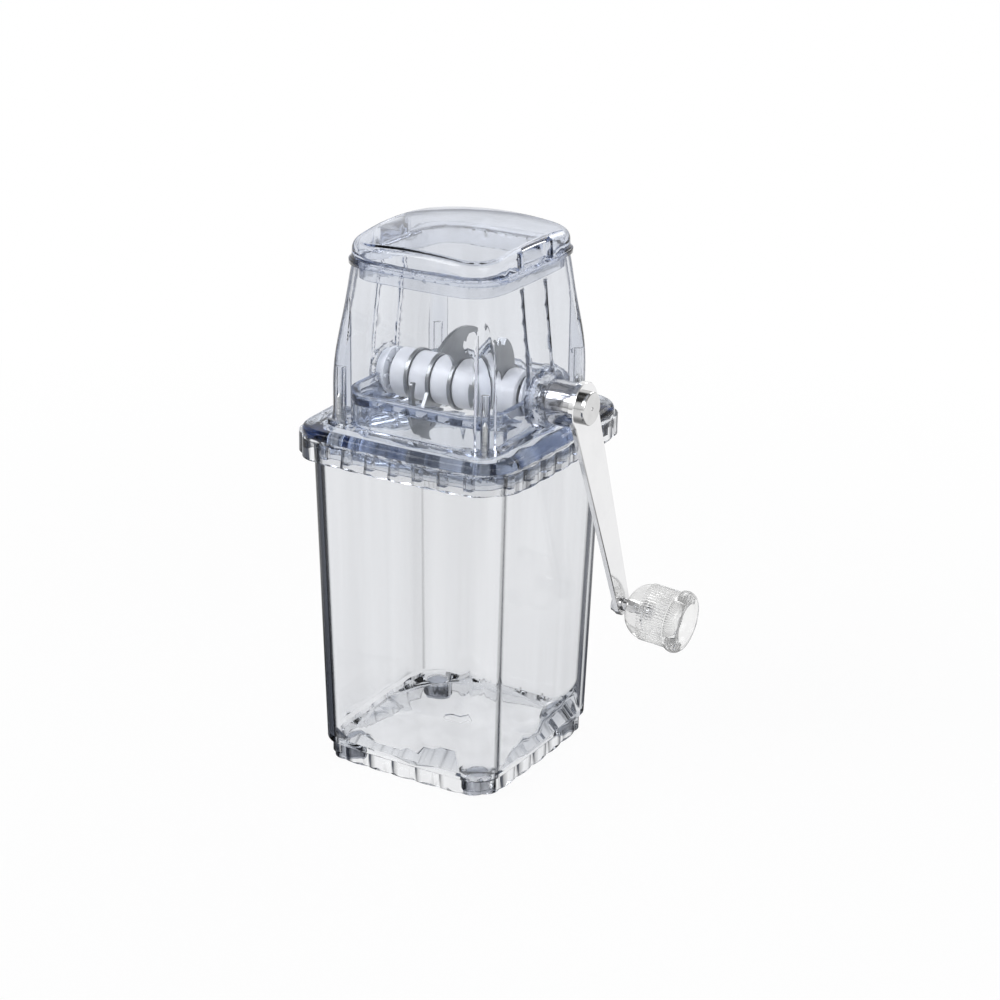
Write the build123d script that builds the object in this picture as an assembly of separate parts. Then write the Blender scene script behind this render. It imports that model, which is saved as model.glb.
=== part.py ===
from build123d import *
from math import cos, sin, tan, radians, pi, sqrt, hypot, atan2, degrees
import os

# A hand cranked ice shaver: a clear, nearly square container, a screwed-on clear crusher head with a
# lid, and a shaft of blades and white spacers that a side crank turns.
# Frame: +Z up, +X along the shaft towards the crank, the wide front face looks along -Y.
# The origin is on the container's axis, on the surface it stands on. All sizes in mm.

# ---- overall sizes ---------------------------------------------------------------------
floor_height = 7.5          # underside of the container floor, above the table
rim_height = 153.0          # mouth of the container, where the head rests
container_half_top = 48.5    # half width along X of the container at its mouth; the head follows
depth_excess = 3.4          # how much more every plan outline measures along Y, each side
shaft_rise = 13.4           # axis of the shaft, above the head's plate
hopper_height = 69.7        # hopper housing, from the head's plate to the lid
lid_height = 14.9           # lid, from the hopper's top edge to the crown

# ---- container -------------------------------------------------------------------------
container_draft = 3.6       # half width lost from the mouth down to the floor
container_corner = 12.0
container_crown = 1.5       # how far each side bulges out at its middle
container_wall = 2.4
floor_thickness = 2.6
floor_edge_round = 1.6
plinth_inset = 1.2          # from the container's lower edge
plinth_corner = 11.0
plinth_crown = 1.4
plinth_wall = 2.0
plinth_lobes = 5            # per side
plinth_ground_gap = 0.6
plinth_overlap = 1.0        # how far the plinth and the foot bosses run up into the floor
rim_overhang = 7.4          # from the container's mouth
rim_corner = 17.0
rim_crown = 2.4
rim_band_height = 9.0
rim_band_wall = 2.2
rim_web = 2.2
rim_lobes = 6               # per side
lobe_rise = 0.9
foot_inset = 11.1           # foot bosses' axes, from the plinth's sides
foot_boss_radius = 7.2
foot_bore_radius = 5.0
foot_bore_relief = 0.4      # bore left over the pad's plug
foot_pad_flange = 1.2
foot_pad_plug = 4.4
foot_pad_inset = 0.8        # pad, inside the boss
gate_length = 13.0
gate_width = 6.0
gate_depth = 0.5

# ---- crusher base ----------------------------------------------------------------------
plate_overhang = 4.9        # from the container's mouth
plate_corner = 16.0
plate_thickness = 3.8
plate_round = 2.6
skirt_depth = 9.0
skirt_wall = 2.0
skirt_clearance = 0.45      # skirt to container, each side
throat_inset = 5.7          # from the hopper's foot
throat_corner = 16.0
throat_wall = 2.2
throat_rise = 0.4          # top of the throat walls, above the shaft's axis
throat_bead = 0.7
throat_bead_height = 3.6
finger_drop = 1.0           # top of the breaker fingers at the wall, below the shaft's axis
finger_tip_drop = 1.9       # at their tips: how much nearer the axis than the drum's underside
finger_tip_inset = 0.4      # tips, inside the drum's side
finger_thickness = 3.2
finger_root = 0.5           # how far the fingers run into the throat wall
slot_clearance = 2.1        # blade to finger, each side
slot_end_clearance = 2.0

# ---- hopper ----------------------------------------------------------------------------
hopper_inset = 6.4          # hopper's foot, from the container's mouth
hopper_wall = 2.2
hopper_crown = 1.4
hopper_foot_corner = 9.0
hopper_lean = [             # drop below the top edge, how much narrower than the foot, corner
    (53.7, 0.5, 9.5),
    (35.7, 1.4, 10.5),
    (23.7, 2.8, 12.0),
    (11.7, 4.1, 13.5),
    (0.0, 5.2, 15.5),
]
hopper_lip = 1.5
hopper_lip_height = 2.2
column_inset = 1.6          # screw columns' axes, from the hopper's top edge
column_radius = 4.4
column_clearance = 0.3      # columns to the throat walls
column_top_gap = 1.7        # below the hopper's top edge
guide_rib_offset = 9.6      # guide ribs either side of the shaft
guide_rib_width = 1.2
guide_rib_depth = 1.4
guide_rib_bottom = 14.0
guide_rib_top_gap = 1.0     # below the lid's skirt
boss_radius = 11.4
boss_wall_overlap = 0.4     # how far the shaft bosses stop short of the hopper's outer face
boss_clearance = 0.4        # shaft bosses to the throat
collar_wall = 1.5
collar_clearance = 0.6      # round the crank's sleeve
collar_length = 4.2

# ---- screws ----------------------------------------------------------------------------
screw_radius = 1.75
screw_thread_radius = 1.5
screw_thread_pitch = 1.4
screw_crest_share = 0.4     # of the pitch, for each flank
screw_length = 15.5
screw_hole_depth = 25.0
screw_hole_clearance = 0.05
screw_head_radius = 3.4
screw_head_height = 2.4
screw_recess_depth = 1.6
screw_head_clearance = 0.3
screw_shank_clearance = 0.25
drive_length = 4.0
drive_width = 0.9
drive_depth = 0.8

# ---- lid -------------------------------------------------------------------------------
lid_overhang = 1.4          # rim, from the hopper's top edge
lid_corner = 16.5
lid_crown = 1.6
lid_wall = 2.2
lid_rim_height = 2.0
lid_rim_step = 0.8
lid_rim_round = 0.5
lid_lean = 0.6              # how far the sides lean in up to the crease
lid_dome_radius = 200.0
lid_edge_round = 4.5
lid_skirt_depth = 6.0
lid_skirt_wall = 1.8
lid_skirt_clearance = 0.45
scoop_half_width = 12.0
scoop_depth = 2.6
scoop_top_drop = 4.2        # top of the finger scoops, below the crown
scoop_round = 2.4

# ---- shaft, blades and drum ------------------------------------------------------------
journal_radius = 6.5
journal_chamfer = 0.6
drum_setback = 4.7          # start of the drum, from the throat wall
shaft_square = 6.2          # across flats, through the drum
shaft_square_corner = 4.1   # radius over the square's rounded corners
shaft_radius = 3.5
drum_radius = 10.8
drum_round = 0.7
blade_thickness = 1.6
blade_first_setback = 8.8   # middle of the first blade, from the start of the drum
blade_last_setback = 8.4    # middle of the last blade, from the end of the drum
blade_ring_rise = 1.0       # the blades' rings stand this far out of the drum
blade_side_gap = 10.0       # blade tips to the throat wall
claw_turns = [234, 117, 0]
tooth_turns = [180, 0]
hub_gap = 2.85              # end of the drum to the throat wall
hub_recess_radius = 8.2
hub_recess_depth = 4.5
square_clearance = 0.05
fit_clearance = 0.03        # pressed or threaded-on pieces
running_clearance = 0.06

# Outlines of the blades: points (radius, angle), angles in degrees from +Y towards +Z.
# A radius here is either how far inside the sweep the point lies or how far outside the ring.
claw_back = [(0.0, 135.5), (2.0, 95), (3.0, 55)]
claw_tip = [(4.2, 51.5), (5.8, 53)]
claw_under = [(5.1, 66), (5.6, 78), (7.6, 89), (10.8, 93)]
claw_front_root = [(2.0, 86), (-1.0, 74)]
claw_back_root = [(-1.5, 130), (4.2, 124)]
claw_hollow = (7.8, 127)
tooth_front = (9.0, 84)
tooth_tips = [(2.4, 98), (5.0, 104), (0.4, 110)]
tooth_back = (10.4, 121)
tooth_roots = [(-1.0, 71), (-1.0, 140)]

# ---- bushings --------------------------------------------------------------------------
left_bushing_wall = 2.4
right_bushing_wall = 3.5
bushing_flange = 1.4
bushing_flange_rise = 1.6
bushing_seat_gap = 0.3      # behind the end of the shaft
right_bushing_reach = 1.2   # out of the hopper's wall
star_ribs = 8
star_rib_width = 1.2
star_rib_rise = 1.3
star_rib_length = 1.2

# ---- crank -----------------------------------------------------------------------------
sleeve_radius = 9.7
sleeve_wall = 1.4
sleeve_end_wall = 2.0
sleeve_gap = 0.8            # hopper wall to the end of the sleeve
sleeve_chamfer = 0.4
crank_standoff = 17.1       # hopper wall to the arm
arm_thickness = 2.4
arm_length = 113.0
arm_angle = 21.8            # from straight down, towards +Y
arm_disc_radius = 11.0
arm_neck_radius = 10.2
arm_end_radius = 5.1
arm_edge_round = 0.35
arm_square = 4.8            # square seat at the end of the shaft
arm_seat_gap = 0.1          # end of the seat below the arm's face, so that the cap clamps the arm
cap_radius = 7.3
cap_height = 3.3
cap_round = 0.7
cap_dimple_radius = 0.8
cap_screw_radius = 2.0
cap_screw_length = 12.0
cap_screw_end_gap = 0.5

# ---- knob ------------------------------------------------------------------------------
knob_splay = 5.4            # the knob's axis leans out along the arm
pin_radius = 2.4
pin_shoulder_radius = 3.0
pin_shoulder_length = 2.4
pin_seat_gap = 0.05         # square-ended pieces to the arm's faces, which the splay tilts
pin_head_radius = 4.2
pin_head_height = 1.3
pin_tail = 1.0              # how far the pin stands out of its front head
pin_washer_radius = 4.6
pin_washer_thickness = 0.6
knob_length = 28.6
knob_radius = 12.7
knob_wall = 4.0             # round the recess
knob_nose_radius = 4.6
knob_dome_length = 11.0
knob_dome_inset = 1.8       # a point half way up the dome: in from the side
knob_dome_rise = 4.2        # and up from the nose
knob_rim_swell = 1.4
knob_rim_length = 7.0
knob_rim_widest = 4.3       # from the start of the rim
knob_rim_return = 1.2
knob_ribs = 60
knob_rib_radius = 0.35
knob_rib_start = 9.0
knob_recess_depth = 19.0
knob_recess_flare = 0.6
knob_recess_flare_depth = 1.4
knob_recess_taper = 0.5
knob_running_clearance = 0.08
knob_end_play = 0.3

cut_margin = 1.0            # how far a cutting tool runs past the face that it cuts

# ---- sizes and places that follow ------------------------------------------------------
plate_top = rim_height + plate_thickness
shaft_height = plate_top + shaft_rise
hopper_top = plate_top + hopper_height
lid_top = hopper_top + lid_height
floor_top = floor_height + floor_thickness
skirt_bottom = rim_height - skirt_depth
container_half_bottom = container_half_top - container_draft
plinth_half = container_half_bottom - plinth_inset
foot_pitch = plinth_half - foot_inset
rim_half = container_half_top + rim_overhang
plate_half = container_half_top + plate_overhang
hopper_half_foot = container_half_top - hopper_inset
hopper_half_top = hopper_half_foot - hopper_lean[-1][1]
column_pitch = hopper_half_top - column_inset
throat_half = hopper_half_foot - throat_inset
throat_inner = throat_half - throat_wall
throat_top = shaft_height + throat_rise
lid_half = hopper_half_top + lid_overhang
drum_start = drum_setback - throat_inner
drum_end = throat_inner - hub_gap
blade_ring_radius = drum_radius + blade_ring_rise
blade_sweep = throat_inner + depth_excess - blade_side_gap
blade_count = len(claw_turns) + len(tooth_turns)
blade_first = drum_start + blade_first_setback
blade_pitch = (drum_end - blade_last_setback - blade_first) / (blade_count - 1)
blade_places = [blade_first + blade_pitch * k for k in range(blade_count)]
left_bushing_radius = journal_radius + left_bushing_wall
right_bushing_radius = shaft_radius + right_bushing_wall
collar_bore = sleeve_radius + collar_clearance
arm_down = radians(arm_angle)
knob_y = arm_length * sin(arm_down)
knob_z = shaft_height - arm_length * cos(arm_down)


def hopper_sections():
    # The hopper's outline as (height over the plate, half width, corner radius), foot to top.
    sections = [(0.0, hopper_half_foot, hopper_foot_corner)]
    for drop, lean, corner in hopper_lean:
        sections.append((hopper_height - drop, hopper_half_foot - lean, corner))
    return sections


def hopper_half_at(rise):
    # Half width of the hopper's outside at a height over the plate.
    sections = hopper_sections()
    for low, high in zip(sections, sections[1:]):
        if low[0] <= rise <= high[0]:
            share = (rise - low[0]) / (high[0] - low[0])
            return low[1] + (high[1] - low[1]) * share
    return hopper_half_top


wall_face = hopper_half_at(shaft_rise)
journal_start = hopper_wall - wall_face
arm_inner_face = wall_face + crank_standoff
arm_outer_face = arm_inner_face + arm_thickness

nodes = {}


def soft_plan(half, corner, crown):
    # The common plan outline: a rectangle, half wide along X and a little more along Y, with
    # rounded corners and sides that bulge out by the crown at their middles.
    half_y = half + depth_excess
    if crown == 0:
        return RectangleRounded(2 * half, 2 * half_y, corner)
    side = half - crown
    side_y = half_y - crown
    corners = [(side, -side_y), (side, side_y), (-side, side_y), (-side, -side_y)]
    middles = [(half, 0), (0, half_y), (-half, 0), (0, -half_y)]
    arcs = [
        ThreePointArc(corners[k], middles[k], corners[(k + 1) % 4])
        for k in range(4)
    ]
    outline = make_face(arcs)
    return fillet(outline.vertices(), corner)


def prism(half, corner, crown, bottom, top):
    return Pos(0, 0, bottom) * extrude(soft_plan(half, corner, crown), top - bottom)


def tapered(sections, crown):
    # A solid through plan outlines given as (height, half width along X, corner radius).
    return loft([Pos(0, 0, z) * soft_plan(half, corner, crown) for z, half, corner in sections])


def lobed_plan(half, corner, crown, lobes):
    # The plan outline as a row of convex lobes: so many along each side, and two round each
    # corner.
    bases = (half + depth_excess - lobe_rise, half - lobe_rise)
    notches = []
    for turn in range(4):
        base = bases[turn % 2]
        reach = bases[1 - turn % 2] - crown - corner
        row = []
        for k in range(lobes + 1):
            along = -reach + 2 * reach * k / lobes
            row.append((along, -(base - crown * (along / (reach + corner)) ** 2)))
        over_corner = corner * sqrt(0.5)
        row.append((reach + over_corner, -(base - crown - corner + over_corner)))
        spin = radians(90 * turn)
        for x, y in row:
            notches.append((x * cos(spin) - y * sin(spin), x * sin(spin) + y * cos(spin)))
    corner_rise = corner * (1 - cos(pi / 8))
    arcs = []
    for k, start in enumerate(notches):
        end = notches[(k + 1) % len(notches)]
        chord = hypot(end[0] - start[0], end[1] - start[1])
        out_x = (end[1] - start[1]) / chord
        out_y = -(end[0] - start[0]) / chord
        at_corner = k % (lobes + 2) >= lobes
        rise = lobe_rise + (corner_rise if at_corner else 0)
        middle = ((start[0] + end[0]) / 2 + out_x * rise, (start[1] + end[1]) / 2 + out_y * rise)
        arcs.append(ThreePointArc(start, middle, end))
    return make_face(arcs)


def up_cylinder(radius, length):
    return Cylinder(radius, length, align=(Align.CENTER, Align.CENTER, Align.MIN))


def z_cylinder(radius, bottom, top):
    return Pos(0, 0, bottom) * up_cylinder(radius, top - bottom)


def x_cylinder(radius, start, end):
    # A round bar on the shaft's axis between two places along it.
    return Pos(start, 0, shaft_height) * Rot(0, 90, 0) * up_cylinder(radius, end - start)


def x_square(across, start, end):
    bar = Box(end - start, across, across, align=(Align.MIN, Align.CENTER, Align.CENTER))
    return Pos(start, 0, shaft_height) * bar


def block(x0, x1, y0, y1, z0, z1):
    return Pos(x0, y0, z0) * Box(x1 - x0, y1 - y0, z1 - z0, align=(Align.MIN,) * 3)


def four_corners(shape, pitch):
    pitch_y = pitch + depth_excess
    return [Pos(x, y, 0) * shape for x in (-pitch, pitch) for y in (-pitch_y, pitch_y)]


# ---- container -------------------------------------------------------------------------
def container_half_at(z):
    share = (z - floor_height) / (rim_height - floor_height)
    return container_half_bottom + container_draft * share


def container_rim():
    # A web at the mouth with a band of lobes that hangs from it.
    bottom = rim_height - rim_band_height
    outline = lobed_plan(rim_half, rim_corner, rim_crown, rim_lobes)
    band = Pos(0, 0, bottom) * extrude(outline, rim_band_height)
    inner_half = rim_half - lobe_rise - rim_band_wall
    return band - prism(inner_half, rim_corner - rim_band_wall, rim_crown, bottom, rim_height - rim_web)


def container_plinth():
    # A ring of lobes below the floor.
    height = floor_height + plinth_overlap - plinth_ground_gap
    ring = Pos(0, 0, plinth_ground_gap) * extrude(
        lobed_plan(plinth_half, plinth_corner, plinth_crown, plinth_lobes), height
    )
    inner_half = plinth_half - lobe_rise - plinth_wall
    return ring - prism(inner_half, plinth_corner - plinth_wall, plinth_crown, plinth_ground_gap, floor_height)


def container():
    shell = tapered(
        [
            (floor_height, container_half_bottom, container_corner),
            (rim_height, container_half_top, container_corner),
        ],
        container_crown,
    )
    shell = fillet(shell.faces().sort_by(Axis.Z)[0].edges(), floor_edge_round)
    inner_corner = container_corner - container_wall
    inside_top = rim_height + cut_margin
    inside = tapered(
        [
            (floor_top, container_half_at(floor_top) - container_wall, inner_corner),
            (inside_top, container_half_at(inside_top) - container_wall, inner_corner),
        ],
        container_crown,
    )
    body = shell + container_rim() + container_plinth()
    boss = z_cylinder(foot_boss_radius, foot_pad_flange, floor_height + plinth_overlap)
    for one in four_corners(boss, foot_pitch):
        body = body + one
    body = body - inside
    bore = z_cylinder(foot_bore_radius, 0, foot_pad_flange + foot_pad_plug + foot_bore_relief)
    for one in four_corners(bore, foot_pitch):
        body = body - one
    gate = extrude(SlotOverall(gate_length, gate_width), gate_depth + cut_margin)
    return body - Pos(0, 0, floor_top - gate_depth) * gate


def foot_pads():
    pad = z_cylinder(foot_boss_radius - foot_pad_inset, 0, foot_pad_flange)
    plug = z_cylinder(foot_bore_radius - fit_clearance, foot_pad_flange, foot_pad_flange + foot_pad_plug)
    return four_corners(pad + plug, foot_pitch)


# ---- crusher base ----------------------------------------------------------------------
def crusher_plate():
    plate = prism(plate_half, plate_corner, rim_crown, rim_height, plate_top)
    return fillet(plate.faces().sort_by(Axis.Z)[-1].edges(), plate_round)


def crusher_skirt():
    # Hangs inside the container's mouth and keeps the head in place.
    half = container_half_at(skirt_bottom) - container_wall - skirt_clearance
    corner = container_corner - container_wall
    skirt = prism(half, corner, container_crown, skirt_bottom, rim_height)
    return skirt - prism(half - skirt_wall, corner - skirt_wall, container_crown, skirt_bottom, rim_height)


def breaker_fingers():
    # Sloping fingers from the front and rear throat walls, with a slot for each blade.
    wall_side = throat_inner + depth_excess + throat_wall / 2
    outer_top = shaft_height - finger_drop
    tip_top = shaft_height - drum_radius + finger_tip_drop
    tip_reach = drum_radius - finger_tip_inset
    profile = make_face(
        Polyline(
            (wall_side, outer_top),
            (tip_reach, tip_top),
            (tip_reach, tip_top - finger_thickness),
            (wall_side, outer_top - finger_thickness),
            close=True,
        )
    )
    length = 2 * throat_inner
    rear = Pos(-length / 2, 0, 0) * (Plane.YZ * extrude(profile, length))
    deck = rear + Rot(0, 0, 180) * rear
    deck_half = throat_inner + finger_root
    deck = deck & prism(deck_half, throat_corner - throat_wall + finger_root, 0, skirt_bottom, throat_top)
    slot_reach = blade_sweep + slot_end_clearance
    slot_half = blade_thickness / 2 + slot_clearance
    for place in blade_places:
        slot = block(place - slot_half, place + slot_half, -slot_reach, slot_reach, skirt_bottom, throat_top)
        deck = deck - slot
    return deck


def bushing_cradle(radius, start, end):
    # Cuts a seat in the throat wall that is open upwards, so that the shaft drops in.
    round_seat = x_cylinder(radius + fit_clearance, start, end)
    half = radius + fit_clearance
    return round_seat + block(start, end, -half, half, shaft_height, throat_top + cut_margin)


def crusher_base():
    bead_bottom = throat_top - throat_bead_height
    throat = prism(throat_half, throat_corner, 0, skirt_bottom, throat_top)
    bead = prism(throat_half + throat_bead, throat_corner + throat_bead, 0, bead_bottom, throat_top)
    inner_corner = throat_corner - throat_wall
    throat_space = prism(throat_inner, inner_corner, 0, skirt_bottom - cut_margin, throat_top + cut_margin)
    body = crusher_plate() + crusher_skirt() + throat + bead - throat_space + breaker_fingers()
    near = throat_inner - cut_margin
    far = throat_half + throat_bead + cut_margin
    body = body - bushing_cradle(left_bushing_radius, -far, -near)
    body = body - bushing_cradle(right_bushing_radius, near, far)
    hole = z_cylinder(screw_radius + screw_shank_clearance, rim_height - cut_margin, plate_top + cut_margin)
    recess_radius = screw_head_radius + screw_head_clearance
    recess = z_cylinder(recess_radius, rim_height - cut_margin, rim_height + screw_recess_depth)
    relief = z_cylinder(column_radius + column_clearance, plate_top, throat_top + cut_margin)
    for one in four_corners(hole + recess + relief, column_pitch):
        body = body - one
    return body


# ---- hopper ----------------------------------------------------------------------------
def hopper_solid(inset):
    sections = [(plate_top + rise, half - inset, corner - inset) for rise, half, corner in hopper_sections()]
    return tapered(sections, hopper_crown)


def guide_ribs(inside):
    # Slim ribs down the two walls that the shaft passes through, either side of the shaft.
    liner = inside - hopper_solid(hopper_wall + guide_rib_depth)
    bottom = plate_top + guide_rib_bottom
    top = hopper_top - lid_skirt_depth - guide_rib_top_gap
    slab = block(
        -hopper_half_foot, hopper_half_foot, -guide_rib_width / 2, guide_rib_width / 2, bottom, top
    )
    ribs = []
    for offset in (-guide_rib_offset, guide_rib_offset):
        ribs += (liner & (Pos(0, offset, 0) * slab)).solids()
    return ribs


def shaft_bosses():
    near = throat_half + throat_bead + boss_clearance
    left = x_cylinder(boss_radius, boss_wall_overlap - wall_face, -near)
    right = x_cylinder(boss_radius, near, wall_face - boss_wall_overlap)
    collar = x_cylinder(collar_bore + collar_wall, wall_face - hopper_wall, wall_face + collar_length)
    return left + right + collar


def shaft_bores():
    # A blind bore for the left bushing, and a through bore with a counterbore on the crank's side.
    near = throat_inner - cut_margin
    blind_end = journal_start - bushing_seat_gap - fit_clearance
    blind = x_cylinder(left_bushing_radius + fit_clearance, blind_end, -near)
    through = x_cylinder(right_bushing_radius + fit_clearance, near, wall_face + collar_length)
    sleeve_space = x_cylinder(collar_bore, wall_face, wall_face + collar_length + cut_margin)
    return blind + through + sleeve_space


def hopper():
    outside = hopper_solid(0)
    inside = hopper_solid(hopper_wall)
    lip_half = hopper_half_foot + hopper_lip
    lip = prism(
        lip_half, hopper_foot_corner + hopper_lip, hopper_crown, plate_top, plate_top + hopper_lip_height
    )
    body = outside + lip - inside
    column = z_cylinder(column_radius, plate_top, hopper_top - column_top_gap)
    for one in four_corners(column, column_pitch):
        body = body + (one & outside)
    for rib in guide_ribs(inside):
        body = body + rib
    body = body + shaft_bosses() - shaft_bores()
    hole_radius = screw_radius + screw_hole_clearance
    hole = z_cylinder(hole_radius, plate_top - cut_margin, plate_top + screw_hole_depth)
    for one in four_corners(hole, column_pitch):
        body = body - one
    return body


def hopper_screws():
    seat = rim_height + screw_recess_depth
    head_bottom = seat - screw_head_height
    screw = z_cylinder(screw_head_radius, head_bottom, seat)
    screw = screw + z_cylinder(screw_thread_radius, seat, seat + screw_length)
    flank = screw_thread_pitch * screw_crest_share
    crests = int(screw_length / screw_thread_pitch) - 1
    for k in range(crests):
        middle = seat + screw_thread_pitch * (k + 1)
        screw = screw + Pos(0, 0, middle - flank / 2) * Cone(screw_thread_radius, screw_radius, flank)
        screw = screw + Pos(0, 0, middle + flank / 2) * Cone(screw_radius, screw_thread_radius, flank)
    drive = Pos(0, 0, head_bottom) * Box(drive_length, drive_width, 2 * drive_depth)
    return four_corners(screw - drive - Rot(0, 0, 90) * drive, column_pitch)


# ---- lid -------------------------------------------------------------------------------
def scoop(side, inset):
    # Flat recess for the fingers in one side of the lid, leaning with it.
    lean = degrees(atan2(lid_lean, lid_height))
    face = lid_half - lid_rim_step - scoop_depth - inset
    size = 2 * lid_height
    tool = Box(size, 2 * (scoop_half_width + inset), 2 * size, align=(Align.MIN, Align.CENTER, Align.CENTER))
    tool = fillet(tool.edges().filter_by(Axis.Z).group_by(Axis.X)[0], scoop_round + inset)
    tool = Pos(face, 0, hopper_top) * Rot(0, -lean, 0) * tool
    reach = lid_half + cut_margin
    bottom = hopper_top + lid_rim_height - inset
    top = lid_top - scoop_top_drop - inset
    tool = tool & block(0, reach, -reach, reach, bottom, top)
    return tool if side > 0 else Rot(0, 0, 180) * tool


def lid_body(inset, bottom):
    # Sides that lean in, cut off by a shallow dome and rounded where they meet it.
    base = lid_half - lid_rim_step - inset
    corner = lid_corner - inset
    sides_top = lid_top + cut_margin
    slope = lid_lean / lid_height
    half_bottom = base - slope * (bottom - hopper_top)
    half_top = base - slope * (sides_top - hopper_top)
    sides = tapered([(bottom, half_bottom, corner), (sides_top, half_top, corner)], lid_crown)
    dome = Pos(0, 0, lid_top - inset - lid_dome_radius) * Rot(90, 0, 0) * Sphere(lid_dome_radius)
    body = sides & dome
    body = fillet(body.faces().sort_by(Axis.Z)[-1].edges(), lid_edge_round - inset)
    return body - scoop(-1, inset) - scoop(1, inset)


def lid():
    # A domed shell on a solid rim, with a skirt that drops inside the hopper's mouth.
    rim_top = hopper_top + lid_rim_height
    rim = prism(lid_half, lid_corner, lid_crown, hopper_top, rim_top)
    rim = fillet(rim.faces().sort_by(Axis.Z)[-1].edges(), lid_rim_round)
    half = hopper_half_top - hopper_wall - lid_skirt_clearance
    corner = hopper_sections()[-1][2] - hopper_wall
    skirt_low = hopper_top - lid_skirt_depth
    skirt = prism(half, corner, hopper_crown, skirt_low, hopper_top)
    mouth_half = half - lid_skirt_wall
    mouth = prism(mouth_half, corner - lid_skirt_wall, hopper_crown, skirt_low, rim_top)
    return lid_body(0, hopper_top) + rim + skirt - lid_body(lid_wall, rim_top) - mouth


# ---- bushings --------------------------------------------------------------------------
def left_bushing():
    # Blind sleeve in the hopper's left wall, with a flange and a star of ribs inside the throat.
    radius = left_bushing_radius
    flange_end = bushing_flange - throat_inner
    body = x_cylinder(radius, journal_start - bushing_seat_gap, -throat_inner)
    body = body + x_cylinder(radius + bushing_flange_rise, -throat_inner, flange_end)
    rib = Box(star_rib_length, star_rib_width, 2 * star_rib_rise, align=(Align.MIN, Align.CENTER, Align.CENTER))
    for k in range(star_ribs):
        place = Pos(flange_end, 0, shaft_height) * Rot(360 / star_ribs * k, 0, 0) * Pos(0, 0, radius)
        body = body + place * rib
    return body - x_cylinder(journal_radius + running_clearance, journal_start, flange_end + star_rib_length)


def right_bushing():
    # Sleeve right through the hopper's wall on the crank's side, with a flange inside the throat.
    radius = right_bushing_radius
    end = wall_face + right_bushing_reach
    flange_start = throat_inner - bushing_flange
    body = x_cylinder(radius, throat_inner, end)
    body = body + x_cylinder(radius + bushing_flange_rise, flange_start, throat_inner)
    return body - x_cylinder(shaft_radius + running_clearance, flange_start, end)


# ---- shaft, blades and drum ------------------------------------------------------------
def shaft():
    journal = x_cylinder(journal_radius, journal_start, drum_start)
    journal = chamfer(journal.edges().sort_by(Axis.X)[0], journal_chamfer)
    square_end = drum_end - hub_recess_depth
    square = x_square(shaft_square, drum_start, square_end)
    square = square & x_cylinder(shaft_square_corner, drum_start, square_end)
    plain = x_cylinder(shaft_radius, square_end, arm_inner_face)
    seat = x_square(arm_square, arm_inner_face, arm_outer_face - arm_seat_gap)
    tapped_start = arm_outer_face - cap_screw_length - cap_screw_end_gap
    tapped = x_cylinder(cap_screw_radius + fit_clearance, tapped_start, arm_outer_face)
    return journal + square + plain + seat - tapped


def polar(radius, angle):
    # A point in the blade's plane, with the angle from +Y towards +Z.
    return (radius * cos(radians(angle)), radius * sin(radians(angle)))


def in_sweep(point):
    return polar(blade_sweep - point[0], point[1])


def on_ring(point):
    return polar(blade_ring_radius + point[0], point[1])


def blade_from(outline, place, turn):
    # Cuts a blade from its claw outline and the ring round the square shaft.
    across = shaft_square + 2 * square_clearance
    flat = make_face(outline) + Circle(blade_ring_radius)
    hole = Rot(0, 0, -turn) * Rectangle(across, across)
    plate = extrude(flat, blade_thickness) - extrude(hole, blade_thickness)
    return Pos(place - blade_thickness / 2, 0, shaft_height) * (Plane.YZ * (Rot(0, 0, turn) * plate))


def claw_blade(place, turn):
    # A crescent hook: a pointed beak, a long back and a tip that bends over an open gap.
    beak, back, tip_out = [in_sweep(point) for point in claw_back]
    tip_end, tip_in = [in_sweep(point) for point in claw_tip]
    under_a, gap_top, under_b, gap_end = [in_sweep(point) for point in claw_under]
    foot_mid, gap_foot = [on_ring(point) for point in claw_front_root]
    root, root_mid = [on_ring(point) for point in claw_back_root]
    hollow = in_sweep(claw_hollow)
    outline = [
        ThreePointArc(beak, back, tip_out),
        ThreePointArc(tip_out, tip_end, tip_in),
        ThreePointArc(tip_in, under_a, gap_top),
        ThreePointArc(gap_top, under_b, gap_end),
        ThreePointArc(gap_end, foot_mid, gap_foot),
        Line(gap_foot, root),
        ThreePointArc(root, root_mid, hollow),
        Line(hollow, beak),
    ]
    return blade_from(outline, place, turn)


def tooth_blade(place, turn):
    # An upright fin with two teeth at its top.
    root_front, root_back = [on_ring(point) for point in tooth_roots]
    tooth, notch, second = [in_sweep(point) for point in tooth_tips]
    outline = [
        ThreePointArc(root_front, in_sweep(tooth_front), tooth),
        Line(tooth, notch),
        Line(notch, second),
        ThreePointArc(second, in_sweep(tooth_back), root_back),
        Line(root_back, root_front),
    ]
    return blade_from(outline, place, turn)


def drum_piece(start, end, recessed=False):
    body = x_cylinder(drum_radius, start, end)
    body = fillet(body.edges().filter_by(GeomType.CIRCLE), drum_round)
    body = body - x_square(shaft_square + 2 * square_clearance, start - cut_margin, end + cut_margin)
    if recessed:
        body = body - x_cylinder(hub_recess_radius, end - hub_recess_depth, end + cut_margin)
    return body


# ---- crank -----------------------------------------------------------------------------
def on_knob_axis(shape, out):
    # Stands a shape built along +Z on the knob's axis, a distance out from the arm's outer face.
    lean = radians(knob_splay)
    direction = (cos(lean), sin(arm_down) * sin(lean), -cos(arm_down) * sin(lean))
    face_point = (arm_outer_face, knob_y, knob_z)
    origin = tuple(face_point[k] + direction[k] * out for k in range(3))
    across = (0, cos(arm_down), sin(arm_down))
    return Plane(origin=origin, x_dir=across, z_dir=direction) * shape


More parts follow.
